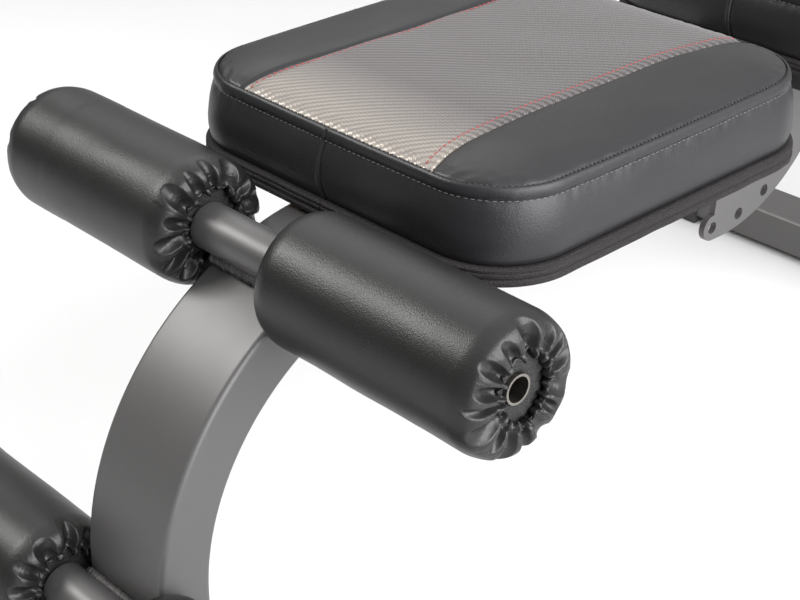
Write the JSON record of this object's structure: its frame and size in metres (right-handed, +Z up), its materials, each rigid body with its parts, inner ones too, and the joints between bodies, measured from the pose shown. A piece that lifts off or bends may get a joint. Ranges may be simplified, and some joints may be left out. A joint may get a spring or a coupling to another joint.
{
  "type": "adjustable weight bench",
  "caption": "Adjustable weight bench: curved tube frame with cross feet, upholstered tilting seat, reclining backrest, foam leg rollers on cross bars and transport wheels.",
  "frame": {"origin": "on the floor, in the middle of the bench's overall width and length", "axes": "+Z up, -Y toward the end with the leg rollers, +Y toward the head of the backrest, X across the bench"},
  "size_m": [0.59, 1.404, 0.444],
  "materials": {
    "frame_paint": "satin dark grey powder coat",
    "bare_steel": "zinc plated, bright cut ends",
    "rubber": "matt",
    "plastic": "fine texture",
    "upholstery": "coated fabric: silver twill middle with black sides",
    "edge_trim": "woven black braid",
    "roller_cover": "fine grain coated fabric",
    "foam": "dark speckled open foam",
    "plywood": "unfinished plywood"
  },
  "bodies": {
    "frame": {"front_bend": "frame_paint", "rear_bend": "frame_paint", "main_rail": "frame_paint", "legs": "frame_paint", "front_foot_tube": "frame_paint", "rear_foot_tube": "frame_paint", "front_shoes": "rubber", "rear_shoes": "rubber", "leg_plates": "frame_paint", "leg_bolts": "bare_steel", "leg_nuts": "bare_steel", "upper_sleeve": "frame_paint", "lower_sleeve": "frame_paint", "bar_bushes": "plastic", "upper_bar": "bare_steel", "lower_bar": "bare_steel", "back_barrel": "frame_paint", "seat_pivot_spacer": "bare_steel", "pivot_bolts": "bare_steel", "pivot_nuts": "bare_steel", "pivot_washers": "bare_steel", "pin_housings": "bare_steel", "back_shelves": "frame_paint", "back_shelf_pads": "rubber", "wheel_forks": "frame_paint", "wheel_axles": "bare_steel"},
    "seat": {"seat_cushion": "upholstery", "seat_board": "plywood", "seat_trim": "edge_trim", "seat_bracket_plate": "frame_paint", "seat_flange_left": "frame_paint", "seat_flange_right": "frame_paint", "seat_screws": "bare_steel"},
    "backrest": {"back_cushion": "upholstery", "back_board": "plywood", "back_trim": "edge_trim", "back_tube_left": "frame_paint", "back_tube_right": "frame_paint", "back_tube_plugs": "plastic", "back_cross_tubes": "frame_paint", "back_arm_left": "frame_paint", "back_sector": "frame_paint", "back_screws": "bare_steel"},
    "seat_lock": {"seat_pin": "bare_steel", "seat_knob": "plastic"},
    "backrest_lock": {"back_pin": "bare_steel", "back_knob": "plastic"},
    "upper_roller_left": {"upper_foam_left": "foam", "upper_cover_left": "roller_cover"},
    "upper_roller_right": {"upper_foam_right": "foam", "upper_cover_right": "roller_cover"},
    "lower_roller_left": {"lower_foam_left": "foam", "lower_cover_left": "roller_cover"},
    "lower_roller_right": {"lower_foam_right": "foam", "lower_cover_right": "roller_cover"},
    "wheel_left": {"wheel_hub_left": "plastic", "wheel_tyre_left": "rubber"},
    "wheel_right": {"wheel_hub_right": "plastic", "wheel_tyre_right": "rubber"}
  },
  "joints": [
    {"name": "seat_tilt", "type": "hinge", "parent": "frame", "child": "seat", "pos_m": [0, -0.13, 0.352], "axis": [-1, 0, 0], "range_deg": [0, 15]},
    {"name": "backrest_recline", "type": "hinge", "parent": "frame", "child": "backrest", "pos_m": [0, -0.08, 0.388], "axis": [1, 0, 0], "range_deg": [0, 75]},
    {"name": "seat_lock_slide", "type": "slide", "parent": "frame", "child": "seat_lock", "axis": [1, 0, 0], "range_m": [0, 0.014]},
    {"name": "backrest_lock_slide", "type": "slide", "parent": "frame", "child": "backrest_lock", "axis": [1, 0, 0], "range_m": [0, 0.014]},
    {"name": "upper_roller_left_spin", "type": "hinge", "parent": "frame", "child": "upper_roller_left", "pos_m": [0, -0.51952, 0.37019], "axis": [1, 0, 0], "continuous": true},
    {"name": "upper_roller_right_spin", "type": "hinge", "parent": "frame", "child": "upper_roller_right", "pos_m": [0, -0.51952, 0.37019], "axis": [1, 0, 0], "continuous": true},
    {"name": "lower_roller_left_spin", "type": "hinge", "parent": "frame", "child": "lower_roller_left", "pos_m": [0, -0.656, 0.15], "axis": [1, 0, 0], "continuous": true},
    {"name": "lower_roller_right_spin", "type": "hinge", "parent": "frame", "child": "lower_roller_right", "pos_m": [0, -0.656, 0.15], "axis": [1, 0, 0], "continuous": true},
    {"name": "wheel_left_spin", "type": "hinge", "parent": "frame", "child": "wheel_left", "pos_m": [-0.15, -0.677, 0.033], "axis": [1, 0, 0], "continuous": true},
    {"name": "wheel_right_spin", "type": "hinge", "parent": "frame", "child": "wheel_right", "pos_m": [0.15, -0.677, 0.033], "axis": [1, 0, 0], "continuous": true}
  ]
}
